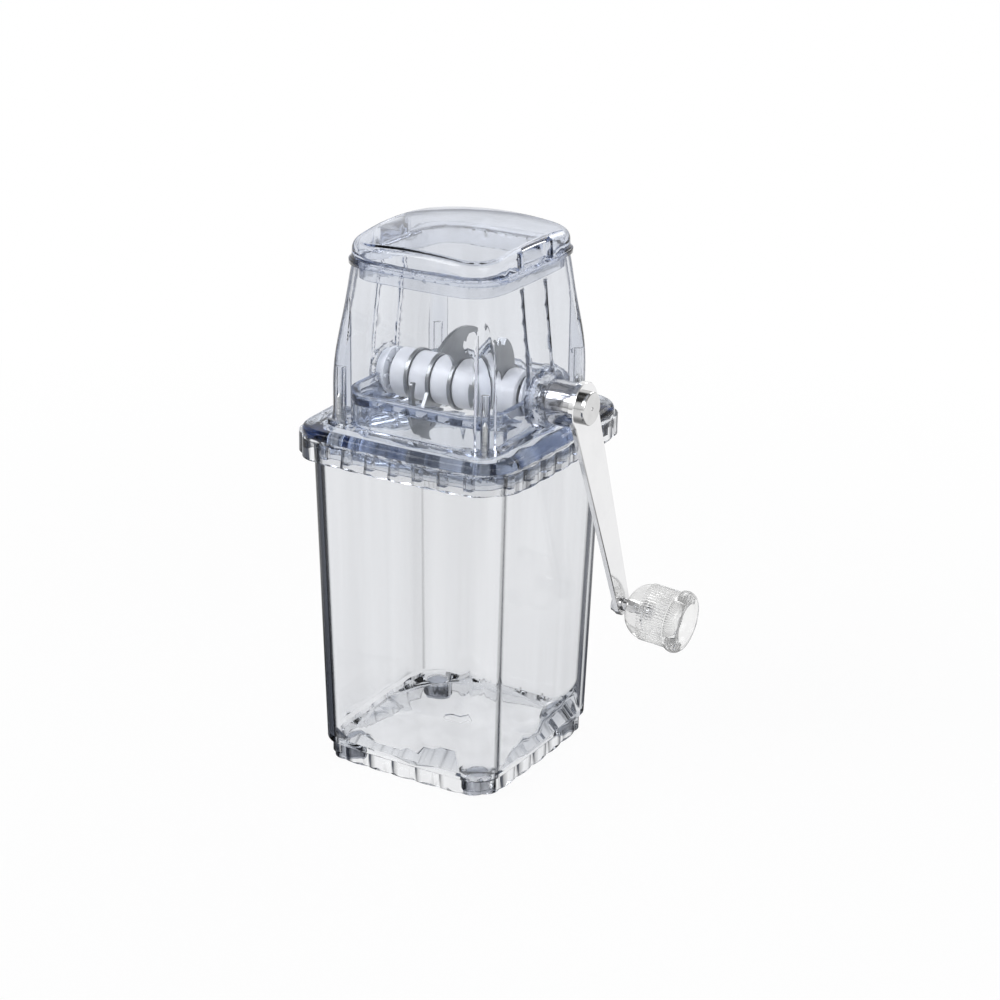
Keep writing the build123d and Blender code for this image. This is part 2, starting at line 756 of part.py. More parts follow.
def crank_sleeve():
    start = wall_face + sleeve_gap
    body = x_cylinder(sleeve_radius, start, arm_inner_face)
    body = chamfer(body.edges().sort_by(Axis.X)[0], sleeve_chamfer)
    body = body - x_cylinder(sleeve_radius - sleeve_wall, start, arm_inner_face - sleeve_end_wall)
    return body - x_cylinder(shaft_radius + fit_clearance, start, arm_inner_face)


def crank_arm():
    # A disc at the shaft and a blade whose straight edges are tangent to its two end circles.
    slant = atan2(arm_neck_radius - arm_end_radius, arm_length)
    top_x, top_y = arm_neck_radius * cos(slant), -arm_neck_radius * sin(slant)
    low_x, low_y = arm_end_radius * cos(slant), -arm_length - arm_end_radius * sin(slant)
    web = make_face(Polyline((top_x, top_y), (low_x, low_y), (-low_x, low_y), (-top_x, top_y), close=True))
    end = Pos(0, -arm_length) * Circle(arm_end_radius)
    plate = extrude(Circle(arm_disc_radius) + Circle(arm_neck_radius) + end + web, arm_thickness)
    plate = chamfer(plate.faces().sort_by(Axis.Z)[-1].edges(), arm_edge_round)
    plate = Pos(arm_inner_face, 0, shaft_height) * (Plane.YZ * (Rot(0, 0, arm_angle) * plate))
    across = arm_square + 2 * square_clearance
    square = x_square(across, arm_inner_face - cut_margin, arm_outer_face + cut_margin)
    hole_half = 2 * arm_thickness
    pin_hole = on_knob_axis(up_cylinder(pin_radius + fit_clearance, 2 * hole_half), -hole_half)
    return plate - square - pin_hole


def crank_cap_screw():
    cap = x_cylinder(cap_radius, arm_outer_face, arm_outer_face + cap_height)
    cap = fillet(cap.edges().sort_by(Axis.X)[-1], cap_round)
    stem = x_cylinder(cap_screw_radius, arm_outer_face - cap_screw_length, arm_outer_face)
    dimple = Pos(arm_outer_face + cap_height, 0, shaft_height) * Sphere(cap_dimple_radius)
    return cap + stem - dimple


def washer_back():
    # How far back along the knob's axis the washer's far face lies, clear of the tilted arm.
    lean = radians(knob_splay)
    return -(arm_thickness / cos(lean) + pin_washer_radius * tan(lean) + pin_seat_gap + pin_washer_thickness)


def knob_pin():
    back = washer_back()
    shoulder_start = pin_shoulder_radius * tan(radians(knob_splay)) + pin_seat_gap
    rear_head = on_knob_axis(up_cylinder(pin_head_radius, pin_head_height), back - pin_head_height)
    shoulder = on_knob_axis(
        up_cylinder(pin_shoulder_radius, pin_shoulder_length - shoulder_start), shoulder_start
    )
    front_head_at = pin_shoulder_length + 2 * knob_end_play + knob_length - knob_recess_depth
    front_head = on_knob_axis(up_cylinder(pin_head_radius, pin_head_height), front_head_at)
    stem_length = front_head_at + pin_head_height + pin_tail - back
    stem = on_knob_axis(up_cylinder(pin_radius, stem_length), back)
    return stem + rear_head + shoulder + front_head


def knob_pin_washer():
    body = up_cylinder(pin_washer_radius, pin_washer_thickness)
    body = body - up_cylinder(pin_radius + fit_clearance, pin_washer_thickness)
    return on_knob_axis(body, washer_back())


def crank_knob():
    # Turned round its own axis: nose, dome, ribbed body, swollen rim and a deep open recess.
    rim_start = knob_length - knob_rim_length
    rim_end = knob_radius - knob_rim_return
    recess = knob_radius - knob_wall
    recess_floor = knob_length - knob_recess_depth
    dome_middle = (knob_radius - knob_dome_inset, knob_dome_rise)
    rim_middle = (knob_radius + knob_rim_swell, rim_start + knob_rim_widest)
    lower = ThreePointArc((knob_nose_radius, 0), dome_middle, (knob_radius, knob_dome_length))
    rim = ThreePointArc((knob_radius, rim_start), rim_middle, (rim_end, knob_length))
    inside = Polyline(
        (rim_end, knob_length),
        (recess + knob_recess_flare, knob_length),
        (recess, knob_length - knob_recess_flare_depth),
        (recess - knob_recess_taper, recess_floor),
        (0, recess_floor),
        (0, 0),
        (knob_nose_radius, 0),
    )
    side = Line((knob_radius, knob_dome_length), (knob_radius, rim_start))
    body = revolve(Plane.XZ * make_face([lower, side, rim] + inside.edges()), Axis.Z)
    body = body - up_cylinder(pin_radius + knob_running_clearance, knob_length)
    rib = Pos(knob_radius, 0, knob_rib_start) * up_cylinder(knob_rib_radius, rim_start - knob_rib_start)
    body = body + [Rot(0, 0, 360 / knob_ribs * k) * rib for k in range(knob_ribs)]
    return on_knob_axis(body, pin_shoulder_length + knob_end_play)


def build_blades_and_drum():
    # Blades and spacers alternate along the shaft, and the hub closes the row.
    start = drum_start
    for k, place in enumerate(blade_places):
        if k < len(claw_turns):
            nodes[f"claw_blade_{k + 1}"] = claw_blade(place, claw_turns[k])
        else:
            nodes[f"tooth_blade_{k + 1}"] = tooth_blade(place, tooth_turns[k - len(claw_turns)])
        nodes[f"drum_spacer_{k + 1}"] = drum_piece(start, place - blade_thickness / 2)
        start = place + blade_thickness / 2
    nodes["drum_end_hub"] = drum_piece(start, drum_end, recessed=True)


def build_nodes():
    nodes["container"] = container()
    nodes["foot_pads"] = foot_pads()
    nodes["crusher_base"] = crusher_base()
    nodes["hopper"] = hopper()
    nodes["hopper_screws"] = hopper_screws()
    nodes["lid"] = lid()
    nodes["left_bushing"] = left_bushing()
    nodes["right_bushing"] = right_bushing()
    nodes["shaft"] = shaft()
    build_blades_and_drum()
    nodes["crank_sleeve"] = crank_sleeve()
    nodes["crank_arm"] = crank_arm()
    nodes["crank_cap_screw"] = crank_cap_screw()
    nodes["knob_pin"] = knob_pin()
    nodes["knob_pin_washer"] = knob_pin_washer()
    nodes["crank_knob"] = crank_knob()


build_nodes()
os.makedirs("parts", exist_ok=True)
for name, shape in nodes.items():
    solids = []
    for piece in shape if isinstance(shape, list) else [shape]:
        solids += piece.solids()
    export_step(Compound(children=solids) if len(solids) > 1 else solids[0], f"parts/{name}.step")
    print(name, len(solids), round(sum(one.volume for one in solids), 1))
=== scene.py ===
from math import cos, pi, radians, sin

import bmesh
import bpy
from mathutils import Matrix, Vector


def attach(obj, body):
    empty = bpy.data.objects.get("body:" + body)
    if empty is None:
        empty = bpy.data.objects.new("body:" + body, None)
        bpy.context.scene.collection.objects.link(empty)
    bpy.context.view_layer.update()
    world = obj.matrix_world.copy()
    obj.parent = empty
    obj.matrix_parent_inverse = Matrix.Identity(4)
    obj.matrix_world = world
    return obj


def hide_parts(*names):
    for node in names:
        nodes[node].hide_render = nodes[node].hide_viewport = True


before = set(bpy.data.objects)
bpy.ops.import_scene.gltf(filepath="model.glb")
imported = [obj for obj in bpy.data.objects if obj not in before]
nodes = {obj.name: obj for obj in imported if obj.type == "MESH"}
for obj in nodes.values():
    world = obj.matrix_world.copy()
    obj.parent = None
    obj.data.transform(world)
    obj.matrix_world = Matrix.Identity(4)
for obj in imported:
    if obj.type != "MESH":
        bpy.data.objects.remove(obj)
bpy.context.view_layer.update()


# The view: angles in degrees, places in metres, focal length in pixels of a 1000 pixel frame.
viewpoint = {
    "azimuth": 30.274,
    "elevation": 21.112,
    "roll": 0.92,
    "distance": 1.100409,
    "aimRight": 0.017698,
    "aimHeight": 0.116268,
    "focalPixels": 2514.746,
    "sensor": 36.0,
}


def makeCamera(look):
    azimuth = radians(look["azimuth"])
    elevation = radians(look["elevation"])
    roll = radians(look["roll"])
    back = Vector((sin(azimuth) * cos(elevation), -cos(azimuth) * cos(elevation), sin(elevation)))
    right = Vector((cos(azimuth), sin(azimuth), 0))
    up = back.cross(right)
    rolledRight = right * cos(roll) + up * sin(roll)
    rolledUp = up * cos(roll) - right * sin(roll)
    target = right * look["aimRight"] + Vector((0, 0, look["aimHeight"]))
    place = target + back * look["distance"]
    turn = Matrix((rolledRight, rolledUp, back)).transposed().to_4x4()
    data = bpy.data.cameras.new("viewCamera")
    data.sensor_width = look["sensor"]
    data.lens = look["focalPixels"] / 1000 * look["sensor"]
    data.clip_end = 20
    camera = bpy.data.objects.new("viewCamera", data)
    camera.matrix_world = Matrix.Translation(place) @ turn
    bpy.context.collection.objects.link(camera)
    bpy.context.scene.camera = camera


class Wire:
    # One output socket of a node tree; arithmetic on it adds Math nodes.
    def __init__(self, tree, socket):
        self.tree = tree
        self.socket = socket

    def math(self, operation, first, second):
        return addNode(self.tree, "ShaderNodeMath", {"operation": operation}, {0: first, 1: second})

    def __add__(self, other):
        return self.math("ADD", self, other)

    def __radd__(self, other):
        return self.math("ADD", other, self)

    def __sub__(self, other):
        return self.math("SUBTRACT", self, other)

    def __rsub__(self, other):
        return self.math("SUBTRACT", other, self)

    def __mul__(self, other):
        return self.math("MULTIPLY", self, other)

    def __rmul__(self, other):
        return self.math("MULTIPLY", other, self)

    def __pow__(self, other):
        return self.math("POWER", self, other)


def addNode(tree, kind, settings=None, inputs=None, output=0):
    made = tree.nodes.new(kind)
    for key, value in (settings or {}).items():
        if key == "stops":
            ramp = made.color_ramp
            while len(ramp.elements) < len(value):
                ramp.elements.new(0.5)
            for element, (place, colour) in zip(ramp.elements, value):
                element.position = place
                element.color = colour
        else:
            setattr(made, key, value)
    for key, value in (inputs or {}).items():
        if isinstance(value, Wire):
            tree.links.new(value.socket, made.inputs[key])
        else:
            made.inputs[key].default_value = value
    return Wire(tree, made.outputs[output]) if len(made.outputs) else None


def grey(value, alpha=1.0):
    return (value, value, value, alpha)


def blendColours(tree, factor, first, second):
    return addNode(tree, "ShaderNodeMix", {"data_type": "RGBA"}, {0: factor, 6: first, 7: second}, 2)


def placeOf(tree, stretch=(1, 1, 1), turn=(0, 0, 0)):
    where = addNode(tree, "ShaderNodeTexCoord", output=3)
    return addNode(tree, "ShaderNodeMapping", None, {"Vector": where, "Scale": stretch, "Rotation": turn})


def noise(tree, where, scale, detail=2.0, roughness=0.5):
    return addNode(
        tree, "ShaderNodeTexNoise", None, {"Vector": where, "Scale": scale, "Detail": detail, "Roughness": roughness}
    )


def spread(tree, value, low, high):
    # Stretches the middle of a noise to the whole range from 0 to 1.
    return addNode(
        tree, "ShaderNodeMapRange", {"clamp": True}, {"Value": value, "From Min": low, "From Max": high}
    )


def bump(tree, height, strength, distance):
    return addNode(
        tree, "ShaderNodeBump", None, {"Height": height, "Strength": strength, "Distance": distance}
    )


def startMaterial(name):
    material = bpy.data.materials.new(name)
    material.use_nodes = True
    tree = material.node_tree
    tree.nodes.clear()
    return material, tree


def finishMaterial(tree, shader):
    addNode(tree, "ShaderNodeOutputMaterial", None, {"Surface": shader})


# Clear mouldings: what one pass through a wall keeps, the tone of a long path inside the plastic,
# the painted dark line where a rounded corner turns away, and painted shade where a wall is seen edge-on.
clearLooks = {
    "container": {"clear": (0.952, 0.955, 0.962), "depth": (0.45, 0.49, 0.56), "density": 34, "ior": 1.18,
                  "corner": (0.010, 0.012, 0.018), "cornerFrom": 0.28, "cornerTo": 0.40,
                  "rim": (0.35, 0.38, 0.44), "streak": 0.10, "haze": 0.01, "hazeSpread": 0.03, "wave": 0.05},
    "tray": {"clear": (0.93, 0.945, 0.965), "depth": (0.36, 0.46, 0.66), "density": 40, "ior": 1.26,
             "corner": (0.22, 0.27, 0.38), "cornerFrom": 0.45, "cornerTo": 0.75,
             "rim": (0.35, 0.41, 0.54), "streak": 0.16, "haze": 0.03, "hazeSpread": 0.06, "wave": 0.1},
    "hopper": {"clear": (0.955, 0.96, 0.968), "depth": (0.38, 0.45, 0.60), "density": 44, "ior": 1.22,
               "corner": (0.06, 0.07, 0.10), "cornerFrom": 0.45, "cornerTo": 0.62,
               "rim": (0.28, 0.32, 0.40), "streak": 0.12, "haze": 0.012, "hazeSpread": 0.03, "wave": 0.08},
    "lid": {"clear": (0.945, 0.952, 0.966), "depth": (0.30, 0.40, 0.62), "density": 60, "ior": 1.3,
            "corner": (0.12, 0.15, 0.24), "cornerFrom": 0.55, "cornerTo": 0.85,
            "rim": (0.22, 0.27, 0.38), "streak": 0.10, "haze": 0.02, "hazeSpread": 0.04, "wave": 0.1},
    "knob": {"clear": (0.965, 0.965, 0.962), "depth": (0.55, 0.55, 0.55), "density": 16, "ior": 1.38,
             "corner": (0.5, 0.5, 0.5), "cornerFrom": 0.6, "cornerTo": 0.9,
             "rim": (0.62, 0.62, 0.62), "streak": 0.06, "haze": 0.03, "hazeSpread": 0.05, "wave": 0.08},
}


def clearMaterial(name, look):
    material, tree = startMaterial(name)
    where = placeOf(tree)
    facing = addNode(tree, "ShaderNodeLayerWeight", None, {"Blend": 0.5}, 1)
    normal = addNode(tree, "ShaderNodeTexCoord", output=1)
    split = addNode(tree, "ShaderNodeSeparateXYZ", None, {0: normal})
    # Painted shade: on the rounded corners, where the normal runs diagonally, the base colour turns near black as the
    # corner turns away from the view, a dark line drawn by view angle.
    across = split * Wire(tree, split.socket.node.outputs[1])
    turned = spread(tree, addNode(tree, "ShaderNodeMath", {"operation": "ABSOLUTE"}, {0: across}), 0.07, 0.20)
    corner = turned * spread(tree, facing, look["cornerFrom"], look["cornerTo"])
    # Painted shade: the base colour darkens towards this colour wherever the surface is seen near edge-on.
    rim = spread(tree, facing, 0.72, 1.0)
    streak = spread(tree, noise(tree, placeOf(tree, (1, 1, 0.03)), 48, 3, 0.6), 0.40, 0.72)
    dimmed = tuple(part * (1 - look["streak"]) for part in look["clear"])
    colour = blendColours(tree, streak, (*look["clear"], 1), (*dimmed, 1))
    colour = blendColours(tree, rim, colour, (*look["rim"], 1))
    colour = blendColours(tree, corner, colour, (*look["corner"], 1))
    flow = noise(tree, placeOf(tree, (1, 1, 0.35)), 55, 1.5)
    grain = noise(tree, where, 900, 3)
    smear = spread(tree, noise(tree, where, 42, 4, 0.6), 0.45, 0.75)
    glass = addNode(
        tree, "ShaderNodeBsdfPrincipled", None,
        {"Base Color": colour, "Roughness": look["haze"] + look["hazeSpread"] * smear, "IOR": look["ior"],
         "Transmission Weight": 1.0, "Normal": bump(tree, flow + 0.02 * grain, look["wave"], 0.0008)},
    )
    through = addNode(tree, "ShaderNodeBsdfTransparent", None, {"Color": (0.93, 0.935, 0.945, 1)})
    shadow = addNode(tree, "ShaderNodeLightPath", output=1)
    shader = addNode(tree, "ShaderNodeMixShader", None, {0: shadow, 1: glass, 2: through})
    depth = addNode(
        tree, "ShaderNodeVolumeAbsorption", None, {"Color": (*look["depth"], 1), "Density": look["density"]}
    )
    addNode(tree, "ShaderNodeOutputMaterial", None, {"Surface": shader, "Volume": depth})
    return material


plasticLooks = {
    "drum": {"colour": (0.78, 0.79, 0.82), "shade": (0.68, 0.69, 0.73), "rough": 0.32, "grain": 0.05},
    "bushing": {"colour": (0.80, 0.82, 0.86), "shade": (0.70, 0.72, 0.77), "rough": 0.28, "grain": 0.04},
    "pad": {"colour": (0.60, 0.61, 0.64), "shade": (0.50, 0.51, 0.54), "rough": 0.6, "grain": 0.12},
}


def plasticMaterial(name, look):
    material, tree = startMaterial(name)
    where = placeOf(tree)
    mottle = spread(tree, noise(tree, where, 120, 4, 0.6), 0.4, 0.75)
    fine = noise(tree, where, 1600, 3)
    scuff = spread(tree, noise(tree, placeOf(tree, (1, 6, 6)), 300, 4), 0.55, 0.8)
    colour = blendColours(tree, 0.5 * mottle + 0.35 * scuff, (*look["colour"], 1), (*look["shade"], 1))
    shader = addNode(
        tree, "ShaderNodeBsdfPrincipled", None,
        {"Base Color": colour, "Roughness": look["rough"] + 0.16 * scuff, "IOR": 1.5,
         "Normal": bump(tree, fine + 0.5 * mottle, look["grain"], 0.0004)},
    )
    finishMaterial(tree, shader)
    return material


# Metals: the stretch lays the grain along the piece, in the axes of the object.
metalLooks = {
    "blade": {"colour": (0.40, 0.41, 0.42), "dark": (0.24, 0.245, 0.255), "rough": 0.30, "roughSpread": 0.16,
              "stretch": (60, 3, 60), "grain": 0.10},
    "shaft": {"colour": (0.66, 0.66, 0.67), "dark": (0.45, 0.45, 0.46), "rough": 0.22, "roughSpread": 0.12,
              "stretch": (80, 4, 4), "grain": 0.08},
    "screw": {"colour": (0.68, 0.68, 0.67), "dark": (0.44, 0.44, 0.43), "rough": 0.28, "roughSpread": 0.16,
              "stretch": (8, 8, 8), "grain": 0.06},
    "sleeve": {"colour": (0.66, 0.66, 0.67), "dark": (0.52, 0.52, 0.54), "rough": 0.05, "roughSpread": 0.05,
               "stretch": (60, 5, 5), "grain": 0.015},
    "arm": {"colour": (0.86, 0.86, 0.865), "dark": (0.78, 0.78, 0.79), "rough": 0.07, "roughSpread": 0.06,
            "stretch": (4, 40, 10), "grain": 0.012},
    "cap": {"colour": (0.72, 0.72, 0.72), "dark": (0.55, 0.55, 0.55), "rough": 0.09, "roughSpread": 0.07,
            "stretch": (30, 6, 6), "grain": 0.02},
    "pin": {"colour": (0.76, 0.76, 0.77), "dark": (0.58, 0.58, 0.60), "rough": 0.10, "roughSpread": 0.10,
            "stretch": (30, 6, 6), "grain": 0.03},
}


def metalMaterial(name, look):
    material, tree = startMaterial(name)
    grain = noise(tree, placeOf(tree, look["stretch"]), 40, 5, 0.65)
    cloud = spread(tree, noise(tree, placeOf(tree), 90, 4, 0.6), 0.42, 0.72)
    speck = spread(tree, noise(tree, placeOf(tree), 1400, 3, 0.6), 0.62, 0.8)
    worn = 0.45 * cloud + 0.4 * speck + 0.15 * grain
    colour = blendColours(tree, worn, (*look["colour"], 1), (*look["dark"], 1))
    shader = addNode(
        tree, "ShaderNodeBsdfPrincipled", None,
        {"Base Color": colour, "Metallic": 1.0, "Roughness": look["rough"] + look["roughSpread"] * worn,
         "Normal": bump(tree, grain, look["grain"], 0.0005)},
    )
    finishMaterial(tree, shader)
    return material


def giveMaterials():
    clear = {name: clearMaterial(f"{name}Clear", look) for name, look in clearLooks.items()}
    plastic = {name: plasticMaterial(f"{name}Plastic", look) for name, look in plasticLooks.items()}
    metal = {name: metalMaterial(f"{name}Metal", look) for name, look in metalLooks.items()}
    chosen = {
        "container": clear["container"],
        "crusher_base": clear["tray"],
        "hopper": clear["hopper"],
        "lid": clear["lid"],
        "crank_knob": clear["knob"],
        "foot_pads": plastic["pad"],
        "left_bushing": plastic["bushing"],
        "right_bushing": plastic["bushing"],
        "hopper_screws": metal["screw"],
        "shaft": metal["shaft"],
        "crank_sleeve": metal["sleeve"],
        "crank_arm": metal["arm"],
        "crank_cap_screw": metal["cap"],
        "knob_pin": metal["pin"],
        "knob_pin_washer": metal["pin"],
    }
    for name, piece in nodes.items():
        if "blade" in name:
            chosen[name] = metal["blade"]
        if name.startswith("drum"):
            chosen[name] = plastic["drum"]
        piece.data.materials.clear()
        piece.data.materials.append(chosen[name])
    return clear, metal


# Two clear pieces that touch share a face, which dims both, so they are drawn from smooth copies,
# each shrunk by the inset. Lengths in metres, angle in degrees.
clearCopies = {
    "weld": 0.000002,
    "inset": 0.00002,
    "sharpAngle": 28,
    "pieces": {
        "container": ("base", "clear_container"),
        "crusher_base": ("head", "clear_tray"),
        "hopper": ("head", "clear_hopper"),
        "lid": ("lid", "clear_lid"),
        "crank_knob": ("knob", "clear_knob"),
    },
}


def smoothCopy(name, body, look):
    mesh = nodes[name].data.copy()
    form = bmesh.new()
    form.from_mesh(mesh)
    bmesh.ops.remove_doubles(form, verts=form.verts, dist=look["weld"])
    form.normal_update()
    for vertex in form.verts:
        vertex.co -= vertex.normal * look["inset"]
    for face in form.faces:
        face.smooth = True
    form.to_mesh(mesh)
    form.free()
    mesh.set_sharp_from_angle(angle=radians(look["sharpAngle"]))
    piece = bpy.data.objects.new(f"{name}_smooth", mesh)
    bpy.context.collection.objects.link(piece)
    weighted = piece.modifiers.new("weighted", "WEIGHTED_NORMAL")
    weighted.keep_sharp = True
    settle(piece)
    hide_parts(name)
    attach(piece, body)
    return piece


def settle(piece):
    # Turns what the modifiers make into the piece's own plain mesh.
    evaluated = piece.evaluated_get(bpy.context.evaluated_depsgraph_get())
    mesh = bpy.data.meshes.new_from_object(evaluated)
    mesh.name = piece.name
    piece.modifiers.clear()
    piece.data = mesh


def socketsOf(tree, sizes):
    # The tree's named inputs, with the sizes as their values, and its one output.
    entry = tree.nodes.new("NodeGroupInput")
    wires = {}
    for name, value in sizes.items():
        kind = "NodeSocketInt" if isinstance(value, int) else "NodeSocketFloat"
        if isinstance(value, bpy.types.Material):
            kind = "NodeSocketMaterial"
        tree.interface.new_socket(name, in_out="INPUT", socket_type=kind)
    tree.interface.new_socket("Geometry", in_out="OUTPUT", socket_type="NodeSocketGeometry")
    for name in sizes:
        wires[name] = Wire(tree, entry.outputs[name])
    return wires


def grow(name, build, sizes, body):
    # Builds a tree, runs it with these sizes and keeps the plain mesh that it makes.
    tree = bpy.data.node_groups.new(f"{name}Tree", "GeometryNodeTree")
    made = build(tree, socketsOf(tree, sizes))
    realized = addNode(tree, "GeometryNodeRealizeInstances", None, {0: made})
    painted = addNode(
        tree, "GeometryNodeSetMaterial", None, {"Geometry": realized, "Material": Wire(tree, materialOf(tree))}
    )
    leave = tree.nodes.new("NodeGroupOutput")
    tree.links.new(painted.socket, leave.inputs[0])
    piece = bpy.data.objects.new(name, bpy.data.meshes.new(name))
    bpy.context.collection.objects.link(piece)
    modifier = piece.modifiers.new("grow", "NODES")
    modifier.node_group = tree
    for item in tree.interface.items_tree:
        if item.in_out == "INPUT":
            modifier[item.identifier] = sizes[item.name]
    settle(piece)
    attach(piece, body)
    print(f"{name}: {len(piece.data.polygons)} faces")
    return piece


def materialOf(tree):
    for one in tree.nodes:
        if one.bl_idname == "NodeGroupInput":
            return one.outputs["Material"]


def vector(tree, x, y, z):
    return addNode(tree, "ShaderNodeCombineXYZ", None, {0: x, 1: y, 2: z})


def joined(tree, parts):
    joint = tree.nodes.new("GeometryNodeJoinGeometry")
    for part in parts:
        tree.links.new(part.socket, joint.inputs[0])
    return Wire(tree, joint.outputs[0])


def ribSolid(tree, width, deep, low, high, round):
    # An upright rounded bar on the Z axis.
    outline = addNode(tree, "GeometryNodeCurvePrimitiveQuadrilateral", {"mode": "RECTANGLE"}, {0: width, 1: deep})
    outline = addNode(
        tree, "GeometryNodeFilletCurve", {"mode": "POLY"}, {"Curve": outline, "Radius": round, "Count": 3}
    )
    flat = addNode(tree, "GeometryNodeFillCurve", {"mode": "NGONS"}, {0: outline})
    raised = addNode(
        tree, "GeometryNodeExtrudeMesh", {"mode": "FACES"},
        {"Mesh": flat, "Offset": vector(tree, 0, 0, 1), "Offset Scale": high - low, "Individual": False},
    )
    under = addNode(tree, "GeometryNodeFlipFaces", None, {0: flat})
    bar = joined(tree, [raised, under])
    bar = addNode(tree, "GeometryNodeMergeByDistance", None, {"Geometry": bar, "Distance": 0.000001})
    return addNode(tree, "GeometryNodeTransform", None, {"Geometry": bar, "Translation": vector(tree, 0, 0, low)})


# Small bars that brace the container's scalloped band, one behind each notch. Metres.
bandRibs = {
    "Front Reach": 0.0356,
    "Side Reach": 0.0390,
    "Front Middle": 0.05240,
    "Side Middle": 0.04900,
    "Crown": 0.0016,
    "Count": 7,
    "Width": 0.0036,
    "Depth": 0.0034,
    "Low": 0.1444,
    "High": 0.1504,
    "Rounding": 0.0004,
}


def bandRibTree(tree, size):
    bar = ribSolid(tree, size["Width"], size["Depth"], size["Low"], size["High"], size["Rounding"])
    rows = []
    sides = [("Front", 0.0), ("Side", pi / 2), ("Front", pi), ("Side", -pi / 2)]
    for side, turn in sides:
        reach, middle = size[f"{side} Reach"], size[f"{side} Middle"]
        step = (2 * reach).math("DIVIDE", 2 * reach, size["Count"] - 1)
        line = addNode(
            tree, "GeometryNodeMeshLine", {"mode": "OFFSET"},
            {"Count": size["Count"], "Start Location": vector(tree, 0 - reach, 0, 0), "Offset": vector(tree, step, 0, 0)},
        )
        along = addNode(tree, "ShaderNodeSeparateXYZ", None, {0: addNode(tree, "GeometryNodeInputPosition")})
        share = along.math("DIVIDE", along, reach)
        bowed = addNode(
            tree, "GeometryNodeSetPosition", None,
            {"Geometry": line, "Offset": vector(tree, 0, 0 - (middle - size["Crown"] * share * share), 0)},
        )
        row = addNode(tree, "GeometryNodeInstanceOnPoints", None, {"Points": bowed, "Instance": bar})
        rows.append(
            addNode(tree, "GeometryNodeTransform", None, {"Geometry": row, "Rotation": vector(tree, 0, 0, turn)})
        )
    return joined(tree, rows)


# Four self-tapping screws up into the hopper's corner columns: a core, a helical thread, a pan head
# and a cross recess in its underside. Metres.
cornerScrews = {
    "Pitch X": 0.0353,
    "Pitch Y": 0.0387,
    "Seat": 0.1546,
    "Core Radius": 0.00136,
    "Thread Radius": 0.00028,
    "Thread Pitch": 0.0014,
    "Length": 0.0155,
    "Head Radius": 0.0034,
    "Head Height": 0.0024,
    "Recess Length": 0.0040,
    "Recess Width": 0.0009,
    "Recess Depth": 0.0012,
}


def cylinderAt(tree, bottomRadius, topRadius, low, high, sides=24):
    tall = high - low
    cone = addNode(
        tree, "GeometryNodeMeshCone", None,
        {"Vertices": sides, "Radius Top": topRadius, "Radius Bottom": bottomRadius, "Depth": tall},
    )
    return addNode(tree, "GeometryNodeTransform", None, {"Geometry": cone, "Translation": vector(tree, 0, 0, low)})


def screwTree(tree, size):
    seat, core, pitch = size["Seat"], size["Core Radius"], size["Thread Pitch"]
    headRadius, headHeight = size["Head Radius"], size["Head Height"]
    shank = cylinderAt(tree, core, core, seat - 0.0002, seat + size["Length"] - 0.0015)
    tip = cylinderAt(tree, core, 0.0004, seat + size["Length"] - 0.0015, seat + size["Length"])
    turns = (size["Length"] - 0.0022).math("DIVIDE", size["Length"] - 0.0022, pitch)
    helix = addNode(
        tree, "GeometryNodeCurveSpiral", None,
        {"Resolution": 20, "Rotations": turns, "Start Radius": core, "End Radius": core,
         "Height": size["Length"] - 0.0022},
    )
    flank = addNode(tree, "GeometryNodeCurvePrimitiveCircle", None, {"Resolution": 4, "Radius": size["Thread Radius"]})
    thread = addNode(
        tree, "GeometryNodeCurveToMesh", None, {"Curve": helix, "Profile Curve": flank, "Fill Caps": True}
    )
    thread = addNode(
        tree, "GeometryNodeTransform", None, {"Geometry": thread, "Translation": vector(tree, 0, 0, seat + 0.0004)}
    )
    rise = seat - headHeight
    crown = cylinderAt(tree, headRadius * 0.72, headRadius, rise, rise + headHeight * 0.45, 32)
    band = cylinderAt(tree, headRadius, headRadius, rise + headHeight * 0.45, seat, 32)
    slots = []
    for long, wide in (("Recess Length", "Recess Width"), ("Recess Width", "Recess Length")):
        block = addNode(
            tree, "GeometryNodeMeshCube", None,
            {"Size": vector(tree, size[long], size[wide], 2 * size["Recess Depth"])},
        )
        slots.append(
            addNode(tree, "GeometryNodeTransform", None, {"Geometry": block, "Translation": vector(tree, 0, 0, rise)})
        )
    head = addNode(tree, "GeometryNodeMeshBoolean", {"operation": "UNION"}, {"Mesh 2": joined(tree, [crown, band])})
    cross = addNode(tree, "GeometryNodeMeshBoolean", {"operation": "UNION"}, {"Mesh 2": joined(tree, slots)})
    head = addNode(tree, "GeometryNodeMeshBoolean", {"operation": "DIFFERENCE"}, {0: head, "Mesh 2": cross})
    screw = joined(tree, [shank, tip, thread, head])
    corners = addNode(
        tree, "GeometryNodeMeshGrid", None,
        {"Size X": 2 * size["Pitch X"], "Size Y": 2 * size["Pitch Y"], "Vertices X": 2, "Vertices Y": 2},
    )
    return addNode(tree, "GeometryNodeInstanceOnPoints", None, {"Points": corners, "Instance": screw})


def makeScrews(metal):
    screws = grow("corner_screws", screwTree, {**cornerScrews, "Material": metal["screw"]}, "head")
    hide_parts("hopper_screws")


def makeClearPieces(clear):
    for name, (body, slot) in clearCopies["pieces"].items():
        piece = smoothCopy(name, body, clearCopies)
        print(f"{piece.name}: {len(piece.data.polygons)} faces")
    grow("band_ribs", bandRibTree, {**bandRibs, "Material": clear["container"]}, "base")
